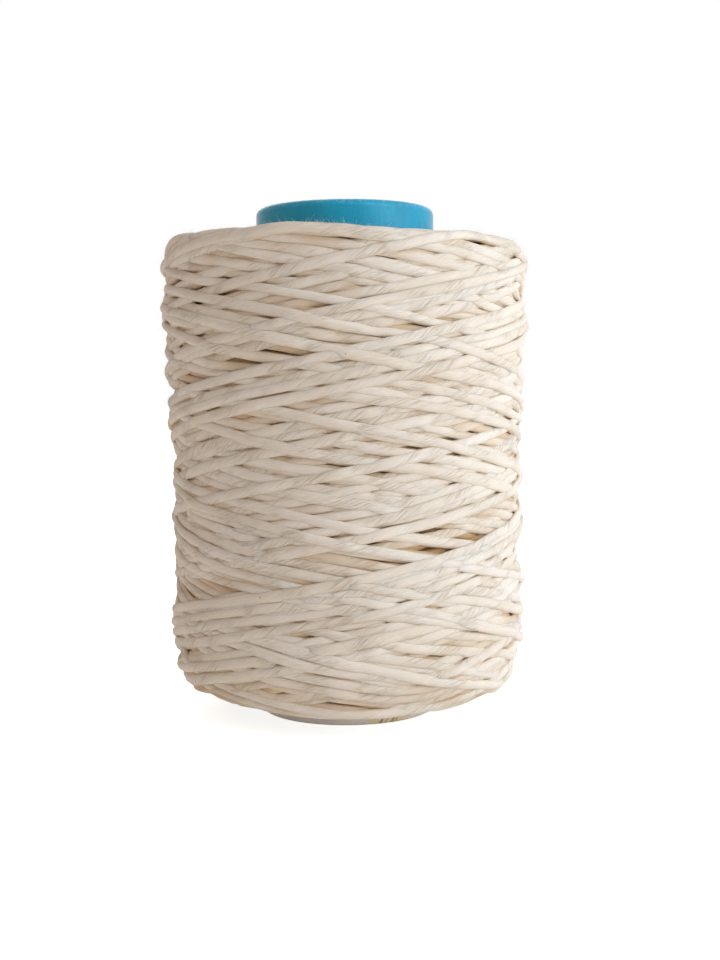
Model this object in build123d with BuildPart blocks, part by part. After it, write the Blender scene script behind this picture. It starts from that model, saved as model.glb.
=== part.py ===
"""Cotton string, cross wound on a straight paper tube.

The tube stands on its cut end with +Z up its axis, and the origin is the centre of that end's face.
The tube is four glued layers of paper: an inner liner, the board that carries the load, a printed
outer ply, and a blue wrap that colours the top end and turns in over its rounded nose. The string is
one length, wound back and forth over the tube, so it is one closed body of the winding's outer shape.
"""

from build123d import *
import os

# Driving dimensions, in millimetres
BORE_RADIUS = 27.0
TUBE_RADIUS = 30.0
TUBE_LENGTH = 170.0
PLY = 0.3  # thickness of the liner, the outer ply and the blue wrap

NOSE_OUTER_ROUND = 2.3  # rounding of the top end, over the wrap
NOSE_INNER_ROUND = 0.6
CUT_EDGE_CHAMFER = 0.5  # the cut base edge, inside and outside

WRAP_BOTTOM = 150.0  # the blue wrap starts under the string
WRAP_TURN_IN = 2.5  # how far the wrap reaches down inside the mouth

WINDING_BOTTOM = 3.8
WINDING_TOP = 160.0
WINDING_BOTTOM_RADIUS = 59.6
WINDING_WAIST_RADIUS = 58.2
WINDING_WAIST_HEIGHT = 70.0
WINDING_TOP_RADIUS = 61.0
SHOULDER_WIDTH = 26.0  # the soft lower shoulder is a quarter of an ellipse
SHOULDER_HEIGHT = 17.0
TOP_EDGE_ROUND = 3.5  # the crisper upper edge

# Worked-out sizes
BOARD_INNER_RADIUS = BORE_RADIUS + PLY
BOARD_OUTER_RADIUS = TUBE_RADIUS - PLY
BOARD_TOP = TUBE_LENGTH - PLY
LINER_TOP = TUBE_LENGTH - WRAP_TURN_IN
SHOULDER_INNER_RADIUS = WINDING_BOTTOM_RADIUS - SHOULDER_WIDTH
SHOULDER_TOP = WINDING_BOTTOM + SHOULDER_HEIGHT

os.makedirs("parts", exist_ok=True)


def ring(inner_radius, outer_radius, bottom, top, inner_round=0.0, outer_round=0.0, mode=Mode.ADD):
    """A sleeve about Z, with its two top edges rounded when a radius is given."""
    with BuildSketch(Plane.XZ) as section:
        with Locations(((inner_radius + outer_radius) / 2, (bottom + top) / 2)):
            Rectangle(outer_radius - inner_radius, top - bottom)
        if outer_round:
            inner_corner, outer_corner = section.vertices().group_by(Axis.Y)[-1].sort_by(Axis.X)
            fillet(outer_corner, outer_round)
            fillet(inner_corner, inner_round)
    revolve(section.sketch, axis=Axis.Z, mode=mode)


def break_cut_edges():
    """Cuts the small cones that break the tube's base edge, inside and outside."""
    with BuildSketch(Plane.XZ) as cones:
        with BuildLine():
            Polyline(
                (BORE_RADIUS, 0),
                (BORE_RADIUS + CUT_EDGE_CHAMFER, 0),
                (BORE_RADIUS, CUT_EDGE_CHAMFER),
                close=True,
            )
        make_face()
        with BuildLine():
            Polyline(
                (TUBE_RADIUS, 0),
                (TUBE_RADIUS, CUT_EDGE_CHAMFER),
                (TUBE_RADIUS - CUT_EDGE_CHAMFER, 0),
                close=True,
            )
        make_face()
    revolve(cones.sketch, axis=Axis.Z, mode=Mode.SUBTRACT)


# The board: the thick spirally wound wall, with a rounded nose at the top
with BuildPart() as tube_board:
    ring(
        BOARD_INNER_RADIUS,
        BOARD_OUTER_RADIUS,
        0,
        BOARD_TOP,
        inner_round=NOSE_INNER_ROUND - PLY,
        outer_round=NOSE_OUTER_ROUND - PLY,
    )
    break_cut_edges()

tube_board.part.label = "tube_board"
export_step(tube_board.part, "parts/tube_board.step")


# The liner: the innermost ply, whose inside is the bore
with BuildPart() as tube_liner:
    ring(BORE_RADIUS, BOARD_INNER_RADIUS, 0, LINER_TOP)
    break_cut_edges()

tube_liner.part.label = "tube_liner"
export_step(tube_liner.part, "parts/tube_liner.step")


# The outer ply: printed paper, from the base up to the blue wrap
with BuildPart() as tube_outer_ply:
    ring(BOARD_OUTER_RADIUS, TUBE_RADIUS, 0, WRAP_BOTTOM)
    break_cut_edges()

tube_outer_ply.part.label = "tube_outer_ply"
export_step(tube_outer_ply.part, "parts/tube_outer_ply.step")


# The blue wrap: round the top end, over the nose and a little way down inside the mouth
with BuildPart() as blue_end_wrap:
    ring(
        BORE_RADIUS,
        TUBE_RADIUS,
        WRAP_BOTTOM,
        TUBE_LENGTH,
        inner_round=NOSE_INNER_ROUND,
        outer_round=NOSE_OUTER_ROUND,
    )
    ring(BORE_RADIUS, BOARD_INNER_RADIUS, WRAP_BOTTOM, LINER_TOP, mode=Mode.SUBTRACT)
    add(tube_board.part, mode=Mode.SUBTRACT)

blue_end_wrap.part.label = "blue_end_wrap"
export_step(blue_end_wrap.part, "parts/blue_end_wrap.step")


# The string: its whole winding, snug on the tube, waisted, with a crisp top edge and a soft shoulder
with BuildPart() as string_winding:
    with BuildSketch(Plane.XZ) as winding_section:
        with BuildLine():
            Polyline(
                (SHOULDER_INNER_RADIUS, WINDING_BOTTOM),
                (TUBE_RADIUS, WINDING_BOTTOM),
                (TUBE_RADIUS, WINDING_TOP),
                (WINDING_TOP_RADIUS, WINDING_TOP),
            )
            Spline(
                (WINDING_TOP_RADIUS, WINDING_TOP),
                (WINDING_WAIST_RADIUS, WINDING_WAIST_HEIGHT),
                (WINDING_BOTTOM_RADIUS, SHOULDER_TOP),
                tangents=((0, -1), (0, -1)),
            )
            EllipticalCenterArc(
                (SHOULDER_INNER_RADIUS, SHOULDER_TOP),
                SHOULDER_WIDTH,
                SHOULDER_HEIGHT,
                start_angle=270,
                arc_size=90,
            )
        make_face()
        top_corner = winding_section.vertices().sort_by(Axis.X)[-1]
        fillet(top_corner, TOP_EDGE_ROUND)
    revolve(axis=Axis.Z)

string_winding.part.label = "string_winding"
export_step(string_winding.part, "parts/string_winding.step")
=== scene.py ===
"""Cotton string on a paper tube: the look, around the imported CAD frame.

The string is laid turn by turn over a map of the winding's surface, as a winding machine lays it:
it runs back and forth along the tube, slips a little into the hollows beside earlier turns, is pulled
tight over what lies under it, and is pressed flatter where the winding is already thick.
"""

import math

import bpy
import numpy as np
from mathutils import Matrix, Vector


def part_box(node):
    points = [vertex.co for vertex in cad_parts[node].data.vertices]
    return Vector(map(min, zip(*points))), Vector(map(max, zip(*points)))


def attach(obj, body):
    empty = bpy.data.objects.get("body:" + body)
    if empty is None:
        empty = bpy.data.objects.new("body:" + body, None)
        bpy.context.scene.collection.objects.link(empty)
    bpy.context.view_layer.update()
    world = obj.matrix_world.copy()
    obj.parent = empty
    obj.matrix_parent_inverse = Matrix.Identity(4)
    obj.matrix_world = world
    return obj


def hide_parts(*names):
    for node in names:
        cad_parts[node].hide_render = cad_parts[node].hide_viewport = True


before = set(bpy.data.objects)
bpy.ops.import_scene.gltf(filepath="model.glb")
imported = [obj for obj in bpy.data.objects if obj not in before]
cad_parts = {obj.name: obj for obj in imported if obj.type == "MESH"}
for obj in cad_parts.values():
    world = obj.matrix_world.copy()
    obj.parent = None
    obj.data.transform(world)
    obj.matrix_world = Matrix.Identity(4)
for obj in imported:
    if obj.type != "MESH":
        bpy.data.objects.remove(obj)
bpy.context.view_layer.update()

MM = 0.001

rng = np.random.default_rng(7)

# ---------------------------------------------------------------- sizes, in millimetres
TUBE_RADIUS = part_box("tube_outer_ply")[1][0] / MM
TUBE_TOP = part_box("blue_end_wrap")[1][2] / MM
winding_low, winding_high = (np.array(corner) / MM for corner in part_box("string_winding"))
WINDING_BOTTOM = winding_low[2]
WINDING_TOP = winding_high[2]
WINDING_RADIUS = winding_high[0]

STRING_LENGTH = 165_000.0  # as planned; bends, slips and swelling add about 5%
HALF_WIDTH = 1.72  # a 3 mm string, pressed flat
HALF_THICKNESS = 1.2
SOFTNESS = 0.8  # 0 rests on the highest point under the string, 1 fills every hollow
HEADROOM = 0.8  # how far the string may stand above its layer before it is pressed in
SWELL = 0.62  # how much of their depth the strings under the surface gain by swelling
SWELL_DEPTH = 6.0
SWELL_START = 0.5
# The string slides in long bends first, then in short ones
COARSE_SLIDE = {"probe": 2.5, "rate": 2.0, "stiffness": 34, "limit": 6.0, "rounds": 4}
FINE_SLIDE = {"probe": 0.7, "rate": 0.5, "stiffness": 12, "limit": 7.0, "rounds": 5}
END_HOLD = 10.0  # within this of an end face the string slides less and less
TIGHTNESS = 0.25  # 0 follows what lies under the string, 1 spans it as a taut wire
WIND_ANGLE = math.radians(10.5)
ANGLE_SCATTER = 0.04
MEAN_RADIUS = 0.97  # the full winding's mean radius, as a share of its largest
TURN_ROUND = 1.2  # how far smoothing cuts a turning point short
LOW_SCATTER = 0.5  # how unevenly the string turns back at the bottom
HIGH_SCATTER = 0.8  # and at the top
LONG_WANDER = 0.35  # how far the string strays from its course, in long bends
SHORT_WANDER = 0.15  # and in short ones
WIDTH_SCATTER = 0.08
THICKNESS_SCATTER = 0.07
MEAN_RISE = 0.785  # the mean height of the string's rounded top, as a share of its half thickness
PRESSING = 0.3  # how much thinner the string gets for each millimetre that the winding is too thick
THINNEST, THICKEST = 0.65, 1.15
INNER_BEND, OUTER_BEND = 20, 10  # steps a turning point is rounded over, on the tube and at its double
BLOCK_CONTEXT = 60  # steps on each side of a block that are worked out along with it

# The outside radius of the full winding, as shares of its height and of its largest radius
PROFILE_HEIGHTS = (0.0, 0.16, 0.30, 0.42, 0.67, 0.84, 1.0)
PROFILE_RADII = (0.972, 0.965, 0.947, 0.95, 0.962, 0.988, 0.995)
SHOULDER_WIDTH = 26.0  # the soft lower shoulder is a quarter of an ellipse
SHOULDER_HEIGHT = 17.0
TOP_ROUND = 3.5  # the top edge is crisper

SIDES = 14  # of the string's cross-section
SPACING = 2.0  # between its rings
RINGS_PER_PIECE = 7000  # so that each piece stays under 200,000 triangles
CUT_SEARCH = 500  # a piece ends where the string is deepest in this many of its last rings
STRING_GIRTH = 9.4  # the way round it
TWIST_PITCH = 22.0  # the length in which the string's fibres turn once round it
STRAND_RIDGE = 0.03  # how far the ridges of the twist stand out, as a share of the string's radius
FINE_RIDGE = 0.02
LEAN_LIMIT = math.radians(50)  # how far a string's flat side tips at the shoulders
TAIL_STEPS = 60  # the last steps, which are tucked under

FUZZ_COUNT = 30_000
FUZZ_PIECES = 4
FUZZ_LENGTH = 1.15
FUZZ_RADIUS = 0.022
FUZZ_SEGMENTS = 4
FUZZ_DEPTH = 1.4  # they stand on strings no deeper than this
FUZZ_SPREAD = 0.55  # of their lengths, as the spread of a lognormal
FUZZ_TAPER = 0.35
FUZZ_ROOT = 0.15  # how deep in the string they start
FUZZ_RISE, FUZZ_LYING, FUZZ_DRIFT = 0.9, 0.6, 0.55  # shares of a hair's heading: out, along, at random
FUZZ_CURL, FUZZ_WAVER = 0.22, 0.14  # how much a segment turns, one way and at random
FUZZ_FINEST, FUZZ_COARSEST = 0.5, 1.2
FUZZ_RIM = 4.0  # the top edge, which is rubbed rough, has more loose ends
FUZZ_AT_RIM = 3_200

CAMERA_DISTANCE = 0.458  # in metres, like its height
CAMERA_HEIGHT = 0.110
CAMERA_YAW, CAMERA_DIP, CAMERA_ROLL = -0.56, 3.98, -0.45  # in degrees
SENSOR_HEIGHT = 36.0
LENS = 50.0

# ---------------------------------------------------------------- colours and texture sizes
FIBRE_ANGLE = math.radians(13)
TWIST_ANGLE = math.radians(29)
COTTON_LIGHT = (0.855, 0.80, 0.735)
COTTON_FLANK_SHADE = (0.74, 0.56, 0.36)  # painted shade on the string's sides, where neighbouring strings press together
COTTON_DARK = (0.73, 0.655, 0.555)
# painted shade for strings that lie deep in the winding
COTTON_DEEP_SHADE = (0.61, 0.415, 0.225)
# painted shade in the grooves between the twisted strands
COTTON_GROOVE_SHADE = (0.60, 0.48, 0.34)
COTTON_STRAY = (0.90, 0.855, 0.78)
SEED_BROWN = (0.13, 0.08, 0.05)
SEED_CELLS = 260.0  # per metre, with at most one seed fleck in a cell
SEED_FREE = 0.80  # the share of the cells without one
SEED_SIZE = 0.085  # the largest fleck's radius, as a share of a cell
BLUE_LIGHT = (0.010, 0.365, 0.57)
BLUE_DARK = (0.005, 0.235, 0.395)
BLUE_WORN = (0.20, 0.42, 0.52)
BLUE_SEAM = 55.0  # millimetres round the tube to the wrap's overlap
PAPER_LAY = math.radians(53)  # how steeply the tube's papers spiral
PALE_PAPER = (0.90, 0.85, 0.80)
PALE_PAPER_DARK = (0.78, 0.73, 0.68)
TAN_PRINT = (0.88, 0.74, 0.50)
STRIPE_BROWN = (0.22, 0.15, 0.09)
STRIPES_AT = -37.0
# offset from the first stripe, half width, strength
STRIPES = ((0.0, 0.35, 0.85), (1.8, 0.25, 0.45), (4.2, 0.4, 0.7), (5.5, 0.3, 0.45))
KRAFT_LIGHT = (0.52, 0.39, 0.25)
KRAFT_DARK = (0.40, 0.28, 0.17)
BOARD_LIGHT = (0.50, 0.41, 0.30)
BOARD_MIDDLE = (0.38, 0.30, 0.21)
BOARD_DARK = (0.20, 0.15, 0.10)
BOARD_PLY = 0.4  # millimetres of board in each of its plies
FLOOR_SEEN = (0.92, 0.92, 0.92)  # what the camera sees of it
FLOOR_BOUNCE = (0.91, 0.865, 0.81)  # what the floor throws back at the object
FLOOR_GLOW = (0.14, 0.74)  # on the object, and as the camera sees it
WORLD_SOFT = (1.0, 0.865, 0.79)
WORLD_STRENGTH = 0.445

# The surface map: one column for each step round the tube, one row for each step up it
COLUMNS = 480
CELL = 0.5
ROWS = int((WINDING_TOP + 12.0) / CELL)
ROWS_UNDER = 5  # how many rows the string may cover on each side of its middle


# ---------------------------------------------------------------- small helpers
def smooth(values, width):
    """Gaussian smoothing of a row of values, with its ends held."""
    reach = int(3 * width) + 1
    kernel = np.exp(-0.5 * (np.arange(-reach, reach + 1) / width) ** 2)
    return np.convolve(np.pad(values, reach, mode="edge"), kernel / kernel.sum(), mode="valid")


def smooth_map(surface, column_width, row_width):
    """The surface map, Gaussian smoothed round the tube and along it."""
    spread = []
    for size, width in zip(surface.shape, (column_width, row_width)):
        spread.append(np.exp(-2 * (math.pi * width * np.fft.fftfreq(size)) ** 2))
    blur = np.outer(spread[0], spread[1])
    return np.fft.ifft2(np.fft.fft2(surface) * blur).real


def wander(count, width):
    """A smooth random row of values with unit spread."""
    values = smooth(rng.standard_normal(count), width)
    return values / values.std()


def rounding(from_end, width, height):
    """How much a rounded end takes off the radius, at a distance from that end's face."""
    share = np.clip(1 - from_end / height, 0, 0.98)
    return width * (1 - np.sqrt(1 - share**2))


def full_radius(z):
    """The full winding's outside radius for a string whose middle is at height z."""
    share = (z - WINDING_BOTTOM) / (WINDING_TOP - WINDING_BOTTOM)
    side = np.interp(share, PROFILE_HEIGHTS, PROFILE_RADII) * WINDING_RADIUS
    shoulder = rounding(z - HALF_WIDTH - WINDING_BOTTOM, SHOULDER_WIDTH, SHOULDER_HEIGHT)
    return side - shoulder - rounding(WINDING_TOP - z, TOP_ROUND, TOP_ROUND)


def layer_radius(share, outside):
    """The radius of the layer that lies at a share of the winding's volume."""
    return np.sqrt(TUBE_RADIUS**2 + share * (outside**2 - TUBE_RADIUS**2))


# ---------------------------------------------------------------- laying the string
def plan_traverses():
    """Height and layer radius for each step of the string, from traverse to traverse."""
    shoulder_start = MEAN_RADIUS * WINDING_RADIUS - SHOULDER_WIDTH
    top_start = WINDING_RADIUS - TOP_ROUND
    lowest = WINDING_BOTTOM + 0.5 * HALF_WIDTH
    highest = WINDING_TOP - HALF_WIDTH - 0.2
    heights, radii = [], []
    laid, here, rising = 0.0, lowest, True
    while laid < STRING_LENGTH:
        radius = layer_radius(laid / STRING_LENGTH, MEAN_RADIUS * WINDING_RADIUS)
        out = min(max(radius - shoulder_start, 0.0) / SHOULDER_WIDTH, 0.97)
        climb = (SHOULDER_HEIGHT - HALF_WIDTH) * (1 - math.sqrt(1 - out**2))
        low = lowest + climb + abs(rng.normal(0, LOW_SCATTER))
        high = highest - max(0.0, radius - top_start) - abs(rng.normal(0, HIGH_SCATTER))
        goal = high + TURN_ROUND if rising else low - TURN_ROUND
        angle = WIND_ANGLE * (1 + rng.normal(0, ANGLE_SCATTER))
        step = 2 * math.pi * radius / COLUMNS
        count = round(abs(goal - here) / (step * math.tan(angle)))
        heights.append(here + (goal - here) * np.arange(count) / count)
        radii.append(np.full(count, radius))
        laid += count * step / math.cos(angle)
        here, rising = goal, not rising
    heights, radii = np.concatenate(heights), np.concatenate(radii)
    kept = len(heights) - (len(heights) - COLUMNS // 4) % COLUMNS  # the string ends at the back
    heights, radii = heights[:kept], radii[:kept]
    outward = (radii - TUBE_RADIUS) / TUBE_RADIUS
    heights = smooth(heights, INNER_BEND) * (1 - outward) + smooth(heights, OUTER_BEND) * outward
    return heights, radii


def footprint(surface, columns, heights, half_width, half_thickness):
    """For each step, the cells under the string, and where its middle would rest on each of them."""
    rows = np.floor(heights / CELL).astype(int)[:, None] + np.arange(-ROWS_UNDER, ROWS_UNDER + 1)
    rows = np.clip(rows, 0, ROWS - 1)
    across = ((rows + 0.5) * CELL - heights[:, None]) / half_width[:, None]
    inside = 1 - across**2
    rise = half_thickness[:, None] * np.sqrt(np.maximum(inside, 0))
    return rows, inside > 0, rise, surface[columns[:, None], rows]


def rest_height(surface, columns, heights, half_width, half_thickness):
    """How high the string's middle rests: partly on the highest cell under it, partly sunk in."""
    _, under, rise, below = footprint(surface, columns, heights, half_width, half_thickness)
    on_top = np.where(under, below + rise, 0).max(axis=1)
    mean_below = np.sum(np.where(under, below, 0), axis=1) / np.sum(under, axis=1)
    sunk = mean_below + MEAN_RISE * half_thickness
    return (1 - SOFTNESS) * on_top + SOFTNESS * sunk


def freedom_at(heights, least):
    """1 in the middle of the winding, less towards its end faces, where the turns hold each other."""
    from_end = np.minimum(heights - WINDING_BOTTOM, WINDING_TOP - heights) - 2 * HALF_WIDTH
    return np.clip(from_end / END_HOLD, least, 1)


def slide(surface, columns, heights, slip, held, sizes, probe, rate, stiffness, limit, rounds):
    """Moves the string sideways, down the slopes of what it lies on. The first held steps stay."""
    slip = slip.copy()
    freedom = freedom_at(heights, 0)
    limit = limit * freedom
    slip[held:] = np.clip(slip, -limit, limit)[held:]
    for _ in range(rounds):
        above = rest_height(surface, columns, heights + slip + probe, *sizes)
        below = rest_height(surface, columns, heights + slip - probe, *sizes)
        slope = np.clip((above - below) / (2 * probe), -1, 1)
        moved = np.clip(smooth(slip - rate * slope * freedom, stiffness), -limit, limit)
        slip[held:] = moved[held:]
    return slip


def pull_tight(rest, radius, step):
    """The least radius over a row of resting heights that a straight span allows."""
    reach = 24
    dip = (np.arange(-reach, reach + 1) * step) ** 2 / (2 * radius)
    padded = np.pad(rest, reach, mode="edge")
    over = np.max([padded[j : j + len(rest)] - dip[j] for j in range(2 * reach + 1)], axis=0)
    padded = np.pad(over, reach, mode="edge")
    taut = np.min([padded[j : j + len(rest)] + dip[j] for j in range(2 * reach + 1)], axis=0)
    return smooth(TIGHTNESS * taut + (1 - TIGHTNESS) * smooth(rest, 2), 2)


def lay_string():
    """Lays the whole string and returns, for each step, its middle, half width and half thickness."""
    heights, layers = plan_traverses()
    count = len(heights)
    heights = heights + LONG_WANDER * wander(count, 60) + SHORT_WANDER * wander(count, 15)
    half_width = HALF_WIDTH * (1 + WIDTH_SCATTER * wander(count, 25))
    half_thickness = HALF_THICKNESS * (1 + THICKNESS_SCATTER * wander(count, 20))
    surface = np.full((COLUMNS, ROWS), TUBE_RADIUS)
    slip = np.zeros(count)
    radius = np.zeros(count)
    block, context = COLUMNS // 2, BLOCK_CONTEXT
    stamped, laid = 0, 0.0
    for start in range(0, count, block):
        end = min(start + block, count)
        steps = np.arange(max(0, start - context), min(end + context, count))
        columns = steps % COLUMNS
        held = start - steps[0]
        step = 2 * math.pi * layers[start] / COLUMNS
        if (start // block) % 4 == 0:  # once every two turns
            built = smooth_map(surface, 10, 8)
        wanted = layer_radius(min(laid / STRING_LENGTH, 1), full_radius(heights[steps]))
        lack = wanted - built[columns, (heights[steps] / CELL).astype(int)]
        half_thickness[steps[held:]] *= np.clip(1 + PRESSING * lack[held:], THINNEST, THICKEST)
        headroom = HEADROOM * freedom_at(heights[steps], 0.3)
        sizes = half_width[steps], half_thickness[steps]
        slid = slip[steps]
        if held:
            slid[held:] = slid[held - 1]
        for settings in (COARSE_SLIDE, FINE_SLIDE):
            slid = slide(surface, columns, heights[steps], slid, held, sizes, **settings)
        slip[steps] = slid
        rest = rest_height(surface, columns, heights[steps] + slid, *sizes)
        taut = pull_tight(rest, layers[start], step)
        over = np.maximum(taut - wanted - headroom, 0)
        taut = np.where(over > 0, wanted + headroom * (2 - np.exp(-over / headroom)), taut)
        radius[steps[held:]] = taut[held:]
        done = end - context if end < count else count
        if done > stamped:
            steps = np.arange(stamped, done)
            columns = steps % COLUMNS
            rows, under, rise, _ = footprint(
                surface, columns, heights[steps] + slip[steps], half_width[steps], half_thickness[steps]
            )
            top = np.where(under, radius[steps, None] + rise, 0)
            np.maximum.at(surface, (columns[:, None], rows), top)
            stamped = done
        laid += (end - start) * step / math.cos(WIND_ANGLE)
    return heights + slip, radius, half_width, half_thickness, surface


# ---------------------------------------------------------------- string meshes
def outline_of(surface):
    """The smooth outer envelope of the surface map: what the top strings lie along."""
    outline = surface
    for reach in (1, 2, 4):
        for axis in (0, 1):
            ahead, behind = np.roll(outline, reach, axis), np.roll(outline, -reach, axis)
            outline = np.maximum.reduce([outline, ahead, behind])
    return smooth_map(outline, 4, 5)


def swelling(depth):
    """How far the strings below the top ones swell outward into the gaps between them."""
    swell = SWELL * np.clip(depth - SWELL_START, 0, SWELL_DEPTH)
    fade = np.clip(1 - (depth - SWELL_DEPTH) / (WINDING_RADIUS - TUBE_RADIUS - SWELL_DEPTH), 0, 1)
    return smooth(swell * fade, 2)


def resample(rows, spacing):
    """Rows of values for each step of the string, at an even spacing along its length."""
    angle, radius, height = rows[:3]
    run = np.hypot(np.hypot(np.diff(radius), np.diff(height)), radius[1:] * np.diff(angle))
    along = np.concatenate(([0], np.cumsum(run)))
    places = np.linspace(0, along[-1], int(along[-1] / spacing))
    return [np.interp(places, along, row) for row in rows], places


def directions(angle, radius, height, lean):
    """The string's line of centres, and the directions across it and up out of the winding."""
    radial = np.stack([np.cos(angle), np.sin(angle), np.zeros_like(angle)], axis=-1)
    centre = radial * radius[:, None]
    centre[:, 2] = height
    outward = radial * np.cos(lean)[:, None]
    outward[:, 2] = np.sin(lean)
    tangent = np.gradient(centre, axis=0)
    tangent /= np.linalg.norm(tangent, axis=1)[:, None]
    side = np.cross(outward, tangent)
    side /= np.linalg.norm(side, axis=1)[:, None]
    return centre, side, np.cross(tangent, side), tangent


def smooth_mesh(name, points, quads, caps):
    """A mesh from points in millimetres, four-cornered faces, and the faces that close its ends."""
    loops = np.concatenate([quads.reshape(-1), caps.reshape(-1)])
    cap_starts = len(quads) * 4 + np.arange(len(caps)) * caps.shape[1]
    starts = np.concatenate([np.arange(len(quads)) * 4, cap_starts])
    mesh = bpy.data.meshes.new(name)
    mesh.vertices.add(points.size // 3)
    mesh.vertices.foreach_set("co", (points.reshape(-1) * MM).astype(np.float32))
    mesh.loops.add(len(loops))
    mesh.loops.foreach_set("vertex_index", loops.astype(np.int32))
    mesh.polygons.add(len(starts))
    mesh.polygons.foreach_set("loop_start", starts.astype(np.int32))
    mesh.update(calc_edges=True)
    mesh.polygons.foreach_set("use_smooth", np.ones(len(starts), dtype=bool))
    return mesh


def skin(name, points, uv_round, along, depth):
    """A closed tube through rings of points, mapped in millimetres along and round it."""
    rings, sides = points.shape[:2]
    first = np.arange(rings - 1)[:, None] * sides
    k = np.arange(sides)
    after = (k + 1) % sides
    quads = np.stack([first + k, first + after, first + sides + after, first + sides + k], axis=-1)
    mesh = smooth_mesh(name, points, quads.reshape(-1, 4), np.stack([k[::-1], (rings - 1) * sides + k]))
    u = np.stack([along[:-1], along[:-1], along[1:], along[1:]], axis=-1)[:, None, :]
    v = np.stack([uv_round[:-1], uv_round[1:], uv_round[1:], uv_round[:-1]], axis=-1)[None]
    u, v = np.broadcast_arrays(u, v)
    uv = np.concatenate([np.stack([u, v], axis=-1).reshape(-1), np.zeros(4 * sides)])
    mesh.uv_layers.new(name="Along").data.foreach_set("uv", uv.astype(np.float32))
    ends = np.empty(len(mesh.edges) * 2, dtype=np.int32)
    mesh.edges.foreach_get("vertices", ends)
    ends = ends.reshape(-1, 2)
    rim = np.all(ends < sides, axis=1) | np.all(ends >= (rings - 1) * sides, axis=1)
    mesh.attributes.new("sharp_edge", "BOOLEAN", "EDGE").data.foreach_set("value", rim)
    shades = mesh.attributes.new("depth", "FLOAT", "POINT").data
    shades.foreach_set("value", np.repeat(depth, sides).astype(np.float32))
    return mesh


def new_piece(name, mesh, material):
    piece = bpy.data.objects.new(name, mesh)
    bpy.context.scene.collection.objects.link(piece)
    mesh.materials.append(material)
    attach(piece, "root")
    return piece


def string_rings(centre, side, up, wide, thick, along):
    """Rings of points round the string: flattened, with shallow ridges that follow its twist."""
    turn = np.linspace(0, 2 * math.pi, SIDES, endpoint=False) - math.pi / 2
    twist = along[:, None] / TWIST_PITCH * 2 * math.pi
    strands = STRAND_RIDGE * np.sin(3 * turn + twist)
    ridges = 1 + strands + FINE_RIDGE * np.sin(5 * turn + 1.7 * twist + 1)
    across = wide[:, None] * np.cos(turn) * ridges
    upward = thick[:, None] * np.sin(turn) * ridges
    return centre[:, None] + side[:, None] * across[..., None] + up[:, None] * upward[..., None]


def build_string(material):
    height, radius, wide, thick, surface = lay_string()
    angle = 2 * math.pi * np.arange(len(height)) / COLUMNS
    columns = np.arange(len(height)) % COLUMNS
    cells = (height / CELL).astype(int)
    outline = outline_of(surface)
    depth = outline[columns, cells] - radius - thick
    from_face = np.minimum(height - WINDING_BOTTOM, WINDING_TOP - height) - HALF_WIDTH
    depth = np.minimum(depth, np.maximum(from_face, 0))
    swell = swelling(depth)
    radius, depth = radius + swell, depth - swell
    slope = np.gradient(outline, CELL, axis=1)[columns, cells]
    lean = smooth(np.clip(-np.arctan(slope), -LEAN_LIMIT, LEAN_LIMIT) * np.clip(2 - depth / 2, 0, 1), 4)
    radius -= smooth(tuck_of_tail(len(radius)), 8)
    rows, along = resample((angle, radius, height, wide, thick, lean, depth), SPACING)
    angle, radius, height, wide, thick, lean, depth = rows
    centre, side, up, tangent = directions(angle, radius, height, lean)
    points = string_rings(centre, side, up, wide, thick, along)
    round_places = np.linspace(0, STRING_GIRTH, SIDES + 1)
    pieces, start, number = [], 0, 1
    while start < len(along) - 1:
        end = min(start + RINGS_PER_PIECE, len(along) - 1)
        if end < len(along) - 1:
            choices = np.arange(end - CUT_SEARCH, end)
            end = choices[np.argmax(depth[choices])]
        part = slice(start, end + 1)
        name = f"string_run_{number:02d}"
        mesh = skin(name, points[part], round_places, along[part], depth[part])
        pieces.append(new_piece(name, mesh, material))
        start, number = end, number + 1
    print("string", round(along[-1] / 1000, 1), "m in", len(pieces), "pieces")
    return pieces, (centre, side, up, tangent, wide, thick, depth)


def tuck_of_tail(count):
    """How far the string's last stretch goes down under the turns beside it."""
    tail = np.zeros(count)
    tail[-TAIL_STEPS:] = np.linspace(0, 1, TAIL_STEPS) ** 2 * 4 * HALF_THICKNESS
    return tail


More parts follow.
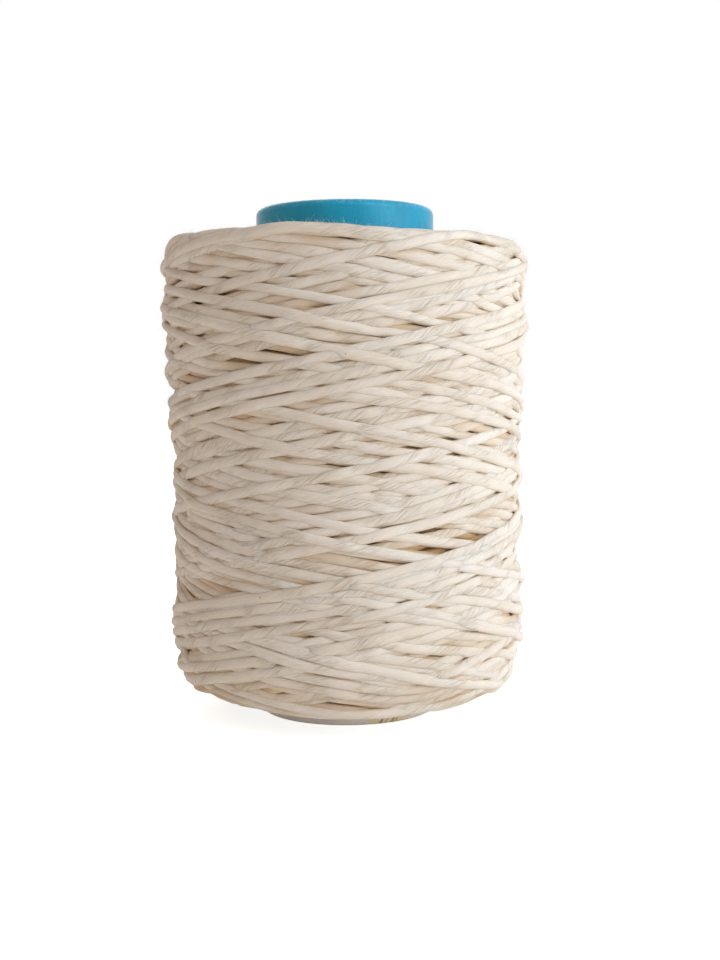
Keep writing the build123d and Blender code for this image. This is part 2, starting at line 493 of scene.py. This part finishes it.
def build_fuzz(material, lines):
    """Loose fibre ends that stand off the surface strings."""
    centre, side, up, tangent, wide, thick, depth = lines
    shown = np.flatnonzero(depth < FUZZ_DEPTH)
    shown = shown[shown > 2]
    outward = np.hypot(centre[:, 0], centre[:, 1])
    at_rim = (centre[:, 2] > WINDING_TOP - FUZZ_RIM) & (outward > WINDING_RADIUS - 2 * FUZZ_RIM)
    edge = np.flatnonzero(at_rim)
    roots = np.concatenate([rng.choice(shown, FUZZ_COUNT - FUZZ_AT_RIM), rng.choice(edge, FUZZ_AT_RIM)])
    rng.shuffle(roots)
    around = rng.uniform(0.08, 0.92, FUZZ_COUNT) * math.pi
    normal = side[roots] * np.cos(around)[:, None] + up[roots] * np.sin(around)[:, None]
    root = (
        centre[roots]
        + side[roots] * (wide[roots] * np.cos(around))[:, None]
        + up[roots] * (thick[roots] * np.sin(around))[:, None]
    )
    length = rng.lognormal(math.log(FUZZ_LENGTH), FUZZ_SPREAD, FUZZ_COUNT)
    length = np.minimum(length, 4 * FUZZ_LENGTH)
    drift = rng.normal(0, 1, (FUZZ_COUNT, 3))
    lying = tangent[roots] * rng.choice([-FUZZ_LYING, FUZZ_LYING], FUZZ_COUNT)[:, None]
    heading = FUZZ_RISE * normal + FUZZ_DRIFT * drift + lying
    curl = rng.normal(0, 1, (FUZZ_COUNT, 3))
    heading /= np.linalg.norm(heading, axis=1)[:, None]
    line = [root - FUZZ_ROOT * normal]
    for _ in range(FUZZ_SEGMENTS):
        line.append(line[-1] + heading * (length / FUZZ_SEGMENTS)[:, None])
        heading = heading + FUZZ_CURL * curl + rng.normal(0, FUZZ_WAVER, (FUZZ_COUNT, 3))
        heading /= np.linalg.norm(heading, axis=1)[:, None]
    line = np.stack(line, axis=1)
    taper = np.linspace(1, FUZZ_TAPER, FUZZ_SEGMENTS + 1)
    breadth = rng.uniform(FUZZ_FINEST, FUZZ_COARSEST, FUZZ_COUNT)[:, None] * FUZZ_RADIUS * taper
    first = np.cross(np.gradient(line, axis=1), drift[:, None, :])
    first /= np.linalg.norm(first, axis=2)[..., None]
    second = np.cross(np.gradient(line, axis=1), first)
    second /= np.linalg.norm(second, axis=2)[..., None]
    corner = np.arange(3) * 2 * math.pi / 3
    rings = (
        line[:, :, None]
        + (first * breadth[..., None])[:, :, None] * np.cos(corner)[:, None]
        + (second * breadth[..., None])[:, :, None] * np.sin(corner)[:, None]
    )
    pieces = []
    for number, part in enumerate(np.array_split(np.arange(FUZZ_COUNT), FUZZ_PIECES), 1):
        name = f"string_fuzz_{number}"
        pieces.append(new_piece(name, hairs_mesh(name, rings[part]), material))
    return pieces


def hairs_mesh(name, rings):
    """One mesh of many closed three-sided hairs."""
    hairs, stops, sides = rings.shape[:3]
    base = np.arange(hairs)[:, None, None] * stops * sides + np.arange(stops - 1)[None, :, None] * sides
    k = np.arange(sides)
    after = (k + 1) % sides
    quads = np.stack([base + k, base + after, base + sides + after, base + sides + k], axis=-1)
    foot = np.arange(hairs)[:, None] * stops * sides
    caps = np.concatenate([foot + k[::-1], foot + (stops - 1) * sides + k])
    return smooth_mesh(name, rings, quads.reshape(-1, 4), caps)


# ---------------------------------------------------------------- materials
def material(name):
    made = bpy.data.materials.new(name)
    made.use_nodes = True
    nodes = made.node_tree.nodes
    return made, nodes, made.node_tree.links, nodes["Principled BSDF"]


def ramp(nodes, stops):
    """A colour ramp from (position, colour) pairs."""
    node = nodes.new("ShaderNodeValToRGB")
    elements = node.color_ramp.elements
    while len(elements) < len(stops):
        elements.new(0.5)
    for element, (position, colour) in zip(elements, stops):
        element.position = position
        element.color = (*colour, 1)
    return node


def mix_colour(nodes, links, kind, factor, first, second):
    node = nodes.new("ShaderNodeMix")
    node.data_type = "RGBA"
    node.blend_type = kind
    if isinstance(factor, float):
        node.inputs["Factor"].default_value = factor
    else:
        links.new(factor, node.inputs["Factor"])
    for name, value in (("A", first), ("B", second)):
        socket = next(i for i in node.inputs if i.name == name and i.type == "RGBA")
        if isinstance(value, tuple):
            socket.default_value = (*value, 1)
        else:
            links.new(value, socket)
    return next(o for o in node.outputs if o.type == "RGBA")


def noise_at(nodes, links, place, scale, detail=2.0, roughness=0.5):
    noise = nodes.new("ShaderNodeTexNoise")
    for name, value in (("Scale", scale), ("Detail", detail), ("Roughness", roughness)):
        noise.inputs[name].default_value = value
    links.new(place, noise.inputs["Vector"])
    return noise.outputs["Fac"]


def fibre_noise(nodes, links, uv, angle, length, width, detail=4.0):
    """Noise drawn out along fibres that cross the string at an angle; sizes in millimetres."""
    lay = nodes.new("ShaderNodeMapping")
    lay.vector_type = "TEXTURE"
    lay.inputs["Rotation"].default_value = (0, 0, -angle)
    lay.inputs["Scale"].default_value = (length, width, 1.0)
    links.new(uv.outputs["UV"], lay.inputs["Vector"])
    return noise_at(nodes, links, lay.outputs["Vector"], 1.0, detail, 0.6)


def maths(nodes, links, operation, first, second):
    node = nodes.new("ShaderNodeMath")
    node.operation = operation
    for socket, value in zip(node.inputs, (first, second)):
        if isinstance(value, float):
            socket.default_value = value
        else:
            links.new(value, socket)
    return node.outputs["Value"]


def ranged(nodes, links, value, low, high, to_low=0.0, to_high=1.0):
    """A value brought from one range into another, and held inside it."""
    node = nodes.new("ShaderNodeMapRange")
    for end, start, finish in (("Min", low, to_low), ("Max", high, to_high)):
        node.inputs[f"From {end}"].default_value = start
        node.inputs[f"To {end}"].default_value = finish
    links.new(value, node.inputs["Value"])
    return node.outputs["Result"]


def set_bump(nodes, links, shader, height, strength, distance):
    bump = nodes.new("ShaderNodeBump")
    bump.inputs["Strength"].default_value = strength
    bump.inputs["Distance"].default_value = distance * MM
    links.new(height, bump.inputs["Height"])
    links.new(bump.outputs["Normal"], shader.inputs["Normal"])


def seed_flecks(nodes, links):
    """1 on a few small, ragged specks, 0 elsewhere."""
    place = nodes.new("ShaderNodeTexCoord").outputs["Object"]
    cells = nodes.new("ShaderNodeTexVoronoi")
    cells.inputs["Scale"].default_value = SEED_CELLS
    links.new(place, cells.inputs["Vector"])
    ragged = noise_at(nodes, links, place, 2600.0)
    chosen = nodes.new("ShaderNodeSeparateColor")
    links.new(cells.outputs["Color"], chosen.inputs["Color"])
    size = ranged(nodes, links, chosen.outputs["Red"], SEED_FREE, 1.0, 0.0, SEED_SIZE)
    edge = maths(nodes, links, "MULTIPLY", ragged, 0.05)
    near = maths(nodes, links, "ADD", cells.outputs["Distance"], edge)
    near = maths(nodes, links, "SUBTRACT", near, size)
    return ranged(nodes, links, near, 0.0, 0.012, 0.85, 0.0)


def cotton():
    made, nodes, links, shader = material("cotton_string")
    shader.inputs["Roughness"].default_value = 0.95
    shader.inputs["Sheen Weight"].default_value = 0.04
    shader.inputs["Sheen Roughness"].default_value = 0.6
    shader.inputs["Sheen Tint"].default_value = (1.0, 0.9, 0.78, 1)
    shader.inputs["Specular IOR Level"].default_value = 0.04
    shader.inputs["Subsurface Weight"].default_value = 0.35
    shader.inputs["Subsurface Radius"].default_value = (1.0, 0.9, 0.8)
    shader.inputs["Subsurface Scale"].default_value = 0.6 * MM
    uv = nodes.new("ShaderNodeUVMap")
    uv.uv_map = "Along"
    fine = fibre_noise(nodes, links, uv, FIBRE_ANGLE, length=5.0, width=0.2)
    strands = fibre_noise(nodes, links, uv, TWIST_ANGLE, length=9.0, width=0.45, detail=2.0)
    stray = fibre_noise(nodes, links, uv, -FIBRE_ANGLE, length=3.0, width=0.14, detail=1.0)
    # where the string has been untwisted its strands part, elsewhere they close up
    patches = noise_at(nodes, links, uv.outputs["UV"], 0.09, 1.0)
    open_twist = ranged(nodes, links, patches, 0.46, 0.58, 0.05, 1.0)
    grooves = ranged(nodes, links, strands, 0.36, 0.50, 1.0, 0.0)
    grooves = maths(nodes, links, "MULTIPLY", grooves, open_twist)
    base = ramp(nodes, [(0.30, COTTON_DARK), (0.62, COTTON_LIGHT)])
    links.new(fine, base.inputs["Fac"])
    colour = base.outputs["Color"]
    # painted shade in the grooves between the strands, where the twist has opened
    groove_shade = maths(nodes, links, "MULTIPLY", grooves, 0.55)
    colour = mix_colour(nodes, links, "MIX", groove_shade, colour, COTTON_GROOVE_SHADE)
    light = ranged(nodes, links, stray, 0.62, 0.70, 0.0, 0.5)
    colour = mix_colour(nodes, links, "MIX", light, colour, COTTON_STRAY)
    # slow change of tone along the string
    stretch = nodes.new("ShaderNodeMapping")
    stretch.inputs["Scale"].default_value = (0.012, 0.02, 1.0)
    links.new(uv.outputs["UV"], stretch.inputs["Vector"])
    tone = noise_at(nodes, links, stretch.outputs["Vector"], 1.0)
    tones = ramp(nodes, [(0.35, (0.94, 0.91, 0.86)), (0.65, (1.0, 1.0, 1.0))])
    links.new(tone, tones.inputs["Fac"])
    colour = mix_colour(nodes, links, "MULTIPLY", 1.0, colour, tones.outputs["Color"])
    # painted shade: the flanks are painted browner and darker than the outside, as the creases between
    # neighbouring strings
    around = nodes.new("ShaderNodeSeparateXYZ")
    links.new(uv.outputs["UV"], around.inputs["Vector"])
    off_top = maths(nodes, links, "SUBTRACT", around.outputs["Y"], STRING_GIRTH / 2)
    off_top = maths(nodes, links, "ABSOLUTE", off_top, 0.0)
    flank_shade = ranged(nodes, links, off_top, 0.16 * STRING_GIRTH, 0.30 * STRING_GIRTH, 0.0, 0.9)
    colour = mix_colour(nodes, links, "MIX", flank_shade, colour, COTTON_FLANK_SHADE)
    # painted shade: strings deeper in the winding are painted browner and darker
    depth = nodes.new("ShaderNodeAttribute")
    depth.attribute_name = "depth"
    below = ranged(nodes, links, depth.outputs["Fac"], 1.2, 3.2)
    colour = mix_colour(nodes, links, "MIX", below, colour, COTTON_DEEP_SHADE)
    colour = mix_colour(nodes, links, "MIX", seed_flecks(nodes, links), colour, SEED_BROWN)
    links.new(colour, shader.inputs["Base Color"])
    relief = maths(nodes, links, "SUBTRACT", fine, maths(nodes, links, "MULTIPLY", grooves, 0.9))
    set_bump(nodes, links, shader, relief, 0.85, 0.25)
    return made


def fuzz_material():
    made, nodes, links, shader = material("cotton_fuzz")
    shader.inputs["Base Color"].default_value = (0.86, 0.81, 0.74, 1)
    shader.inputs["Roughness"].default_value = 0.9
    shader.inputs["Specular IOR Level"].default_value = 0.15
    return made


def tube_places(nodes, links):
    """Where a point is on the tube: millimetres round it, up it, and out from its axis."""
    place = nodes.new("ShaderNodeTexCoord").outputs["Object"]
    parts = nodes.new("ShaderNodeSeparateXYZ")
    links.new(place, parts.inputs["Vector"])
    x, y, z = (parts.outputs[name] for name in "XYZ")
    turn = maths(nodes, links, "ARCTAN2", y, x)
    around = maths(nodes, links, "MULTIPLY", turn, float(TUBE_RADIUS))
    up = maths(nodes, links, "DIVIDE", z, MM)
    flat = nodes.new("ShaderNodeVectorMath")
    flat.operation = "MULTIPLY"
    links.new(place, flat.inputs[0])
    flat.inputs[1].default_value = (1 / MM, 1 / MM, 0)
    size = nodes.new("ShaderNodeVectorMath")
    size.operation = "LENGTH"
    links.new(flat.outputs["Vector"], size.inputs[0])
    return place, around, up, size.outputs["Value"]


def line_at(nodes, links, value, centre, half_width, blur):
    """1 where a value is near a centre, falling to 0 over the blur."""
    away = maths(nodes, links, "ABSOLUTE", maths(nodes, links, "SUBTRACT", value, centre), 0.0)
    return ranged(nodes, links, away, half_width, half_width + blur, 1.0, 0.0)


def blue_paper():
    """Glazed blue paper: mottled, pleated where it turns in over the nose, and rubbed along the rim."""
    made, nodes, links, shader = material("blue_paper")
    shader.inputs["Specular IOR Level"].default_value = 0.3
    shader.inputs["Sheen Weight"].default_value = 0.9
    shader.inputs["Sheen Roughness"].default_value = 0.25
    place, around, up, _ = tube_places(nodes, links)
    mottle = noise_at(nodes, links, place, 90.0, 3.0)
    rubbing = nodes.new("ShaderNodeCombineXYZ")
    links.new(maths(nodes, links, "MULTIPLY", around, 2.3), rubbing.inputs["X"])
    links.new(maths(nodes, links, "MULTIPLY", up, 0.12), rubbing.inputs["Y"])
    streaks = noise_at(nodes, links, rubbing.outputs["Vector"], 1.0, 4.0)
    grain = noise_at(nodes, links, place, 1500.0, 3.0)
    shades = ramp(nodes, [(0.32, BLUE_DARK), (0.68, BLUE_LIGHT)])
    blend = maths(nodes, links, "MULTIPLY", mottle, 0.5)
    blend = maths(nodes, links, "ADD", blend, maths(nodes, links, "MULTIPLY", streaks, 0.3))
    blend = maths(nodes, links, "ADD", blend, maths(nodes, links, "MULTIPLY", grain, 0.2))
    links.new(blend, shades.inputs["Fac"])
    colour = shades.outputs["Color"]
    overlap = line_at(nodes, links, around, BLUE_SEAM, 0.08, 0.12)
    overlap = maths(nodes, links, "MULTIPLY", overlap, 0.6)
    colour = mix_colour(nodes, links, "MIX", overlap, colour, BLUE_DARK)
    rim = ranged(nodes, links, up, TUBE_TOP - 2.6, TUBE_TOP - 0.6)
    rubbed = ranged(nodes, links, noise_at(nodes, links, place, 700.0, 4.0), 0.5, 0.62)
    wear = maths(nodes, links, "MULTIPLY", maths(nodes, links, "MULTIPLY", rim, rubbed), 0.45)
    colour = mix_colour(nodes, links, "MIX", wear, colour, BLUE_WORN)
    links.new(colour, shader.inputs["Base Color"])
    links.new(ranged(nodes, links, blend, 0.35, 0.65, 0.52, 0.36), shader.inputs["Roughness"])
    turn = maths(nodes, links, "MULTIPLY", around, 2.1)
    turn = maths(nodes, links, "ADD", turn, maths(nodes, links, "MULTIPLY", mottle, 14.0))
    pleats = maths(nodes, links, "SINE", turn, 0.0)
    pleats = maths(nodes, links, "MULTIPLY", pleats, maths(nodes, links, "MULTIPLY", rim, 0.6))
    height = maths(nodes, links, "ADD", grain, pleats)
    height = maths(nodes, links, "ADD", height, maths(nodes, links, "MULTIPLY", mottle, 1.5))
    lap = ranged(nodes, links, around, BLUE_SEAM, BLUE_SEAM + 0.05)
    height = maths(nodes, links, "ADD", height, lap)
    set_bump(nodes, links, shader, height, 0.35, 0.12)
    return made


def helix(nodes, links, around, up):
    """Millimetres round the tube to the line, along the paper's spiral lay, through a point."""
    shift = maths(nodes, links, "DIVIDE", up, math.tan(PAPER_LAY))
    return maths(nodes, links, "SUBTRACT", around, shift)


def paper(name, light, dark, roughness):
    """The parts that every paper shares: fibres and blotches."""
    made, nodes, links, shader = material(name)
    shader.inputs["Roughness"].default_value = roughness
    shader.inputs["Specular IOR Level"].default_value = 0.3
    place, around, up, out = tube_places(nodes, links)
    fibres = noise_at(nodes, links, place, 1400.0, 6.0)
    blotches = noise_at(nodes, links, place, 110.0, 3.0)
    blend = maths(nodes, links, "MULTIPLY", fibres, 0.6)
    blend = maths(nodes, links, "ADD", blend, maths(nodes, links, "MULTIPLY", blotches, 0.4))
    shades = ramp(nodes, [(0.36, dark), (0.64, light)])
    links.new(blend, shades.inputs["Fac"])
    return made, nodes, links, shader, (around, up, out), fibres, shades.outputs["Color"]


def printed_paper():
    """The outer ply: pale paper, with a tan edge band and dark stripes along its spiral lay."""
    made, nodes, links, shader, places, fibres, colour = paper(
        "printed_paper", PALE_PAPER, PALE_PAPER_DARK, 0.8
    )
    around, up, _ = places
    across = helix(nodes, links, around, up)
    band = line_at(nodes, links, across, STRIPES_AT + 3.6, 7.2, 1.2)
    colour = mix_colour(nodes, links, "MIX", band, colour, TAN_PRINT)
    ragged = maths(nodes, links, "MULTIPLY", fibres, 0.8)
    printed = maths(nodes, links, "ADD", across, ragged)
    for offset, half_width, strength in STRIPES:
        stripe = line_at(nodes, links, printed, STRIPES_AT + 0.4 + offset, half_width, 0.25)
        stripe = maths(nodes, links, "MULTIPLY", stripe, strength)
        colour = mix_colour(nodes, links, "MIX", stripe, colour, STRIPE_BROWN)
    # darker towards the bottom edge, over the lowest 1.4 mm of the tube
    bottom_darkening = ranged(nodes, links, up, 0.0, 1.4, 0.12, 0.0)
    colour = mix_colour(nodes, links, "MIX", bottom_darkening, colour, BOARD_DARK)
    links.new(colour, shader.inputs["Base Color"])
    set_bump(nodes, links, shader, fibres, 0.4, 0.1)
    return made


def kraft_paper():
    """The liner: brown kraft, with the spiral seam of its ply."""
    made, nodes, links, shader, places, fibres, colour = paper(
        "kraft_paper", KRAFT_LIGHT, KRAFT_DARK, 0.82
    )
    around, up, _ = places
    seam = line_at(nodes, links, helix(nodes, links, around, up), 40.0, 0.15, 0.15)
    mark = maths(nodes, links, "MULTIPLY", seam, 0.7)
    colour = mix_colour(nodes, links, "MIX", mark, colour, BOARD_DARK)
    links.new(colour, shader.inputs["Base Color"])
    height = maths(nodes, links, "SUBTRACT", fibres, maths(nodes, links, "MULTIPLY", seam, 2.0))
    set_bump(nodes, links, shader, height, 0.45, 0.12)
    return made


def board():
    """The board: grey-brown, with the edges of its plies as rings on the cut end."""
    made, nodes, links, shader, places, fibres, colour = paper(
        "tube_board", BOARD_LIGHT, BOARD_MIDDLE, 0.9
    )
    _, _, out = places
    wobble = maths(nodes, links, "ADD", out, maths(nodes, links, "MULTIPLY", fibres, 0.12))
    phase = maths(nodes, links, "MULTIPLY", wobble, 2 * math.pi / BOARD_PLY)
    rings = maths(nodes, links, "SINE", phase, 0.0)
    rings = ranged(nodes, links, rings, 0.55, 0.95)
    mark = maths(nodes, links, "MULTIPLY", rings, 0.6)
    colour = mix_colour(nodes, links, "MIX", mark, colour, BOARD_DARK)
    links.new(colour, shader.inputs["Base Color"])
    height = maths(nodes, links, "SUBTRACT", fibres, maths(nodes, links, "MULTIPLY", rings, 0.8))
    set_bump(nodes, links, shader, height, 0.6, 0.15)
    return made


# ---------------------------------------------------------------- camera, floor and light
def add_camera():
    data = bpy.data.cameras.new("camera")
    data.sensor_fit = "VERTICAL"
    data.sensor_height = SENSOR_HEIGHT
    data.lens = LENS
    camera = bpy.data.objects.new("camera", data)
    bpy.context.scene.collection.objects.link(camera)
    place = Matrix.Translation((0, -CAMERA_DISTANCE, CAMERA_HEIGHT))
    yaw = Matrix.Rotation(math.radians(CAMERA_YAW), 4, "Z")
    pitch = Matrix.Rotation(math.radians(90 - CAMERA_DIP), 4, "X")
    roll = Matrix.Rotation(math.radians(CAMERA_ROLL), 4, "Z")
    camera.matrix_world = place @ yaw @ pitch @ roll
    bpy.context.scene.camera = camera


def add_softbox(name, azimuth, elevation, distance, size, power, colour):
    """A square area lamp that faces the middle of the object. Azimuth 0 is the camera's side."""
    data = bpy.data.lights.new(name, "AREA")
    data.size = size
    data.energy = power
    data.color = colour
    lamp = bpy.data.objects.new(name, data)
    bpy.context.scene.collection.objects.link(lamp)
    turn = Matrix.Rotation(math.radians(azimuth), 4, "Z")
    tilt = Matrix.Rotation(math.radians(90 - elevation), 4, "X")
    middle = Matrix.Translation((0, 0, TUBE_TOP / 2 * MM))
    lamp.matrix_world = middle @ turn @ tilt @ Matrix.Translation((0, 0, distance))


def add_floor():
    half = 8.0
    corners = [(-half, -half, 0), (half, -half, 0), (half, half, 0), (-half, half, 0)]
    mesh = bpy.data.meshes.new("floor")
    mesh.from_pydata(corners, [], [(0, 1, 2, 3)])
    floor = bpy.data.objects.new("floor", mesh)
    bpy.context.scene.collection.objects.link(floor)
    made, nodes, links, shader = material("floor")
    shader.inputs["Roughness"].default_value = 0.95
    shader.inputs["Specular IOR Level"].default_value = 0.1
    shader.inputs["Emission Color"].default_value = (0.96, 0.99, 1.0, 1)
    seen = nodes.new("ShaderNodeLightPath").outputs["Is Camera Ray"]
    tint = mix_colour(nodes, links, "MIX", seen, FLOOR_BOUNCE, FLOOR_SEEN)
    links.new(tint, shader.inputs["Base Color"])
    glow = ranged(nodes, links, seen, 0.0, 1.0, *FLOOR_GLOW)
    links.new(glow, shader.inputs["Emission Strength"])
    mesh.materials.append(made)


def add_world():
    world = bpy.data.worlds.new("studio")
    bpy.context.scene.world = world
    world.use_nodes = True
    nodes, links = world.node_tree.nodes, world.node_tree.links
    soft = nodes["Background"]
    soft.inputs["Color"].default_value = (*WORLD_SOFT, 1)
    soft.inputs["Strength"].default_value = WORLD_STRENGTH
    white = nodes.new("ShaderNodeBackground")
    white.inputs["Color"].default_value = (1.0, 1.0, 1.0, 1)
    white.inputs["Strength"].default_value = 1.0
    ray = nodes.new("ShaderNodeLightPath")
    choose = nodes.new("ShaderNodeMixShader")
    seen = maths(nodes, links, "MAXIMUM", ray.outputs["Is Camera Ray"], ray.outputs["Is Glossy Ray"])
    links.new(seen, choose.inputs[0])
    links.new(soft.outputs["Background"], choose.inputs[1])
    links.new(white.outputs["Background"], choose.inputs[2])
    links.new(choose.outputs["Shader"], nodes["World Output"].inputs["Surface"])


bpy.context.scene.view_settings.view_transform = "Standard"
add_camera()
add_floor()
add_world()
add_softbox(
    "key", azimuth=62, elevation=24, distance=1.1, size=1.1, power=11.0, colour=(0.875, 0.988, 1.09)
)
add_softbox(
    "back", azimuth=180, elevation=32, distance=1.3, size=1.0, power=6.5, colour=(0.94, 0.98, 1.02)
)

string_pieces, string_lines = build_string(cotton())
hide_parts("string_winding")
build_fuzz(fuzz_material(), string_lines)

for node, made in (
    ("blue_end_wrap", blue_paper()),
    ("tube_outer_ply", printed_paper()),
    ("tube_liner", kraft_paper()),
    ("tube_board", board()),
):
    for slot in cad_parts[node].material_slots:
        slot.material = made
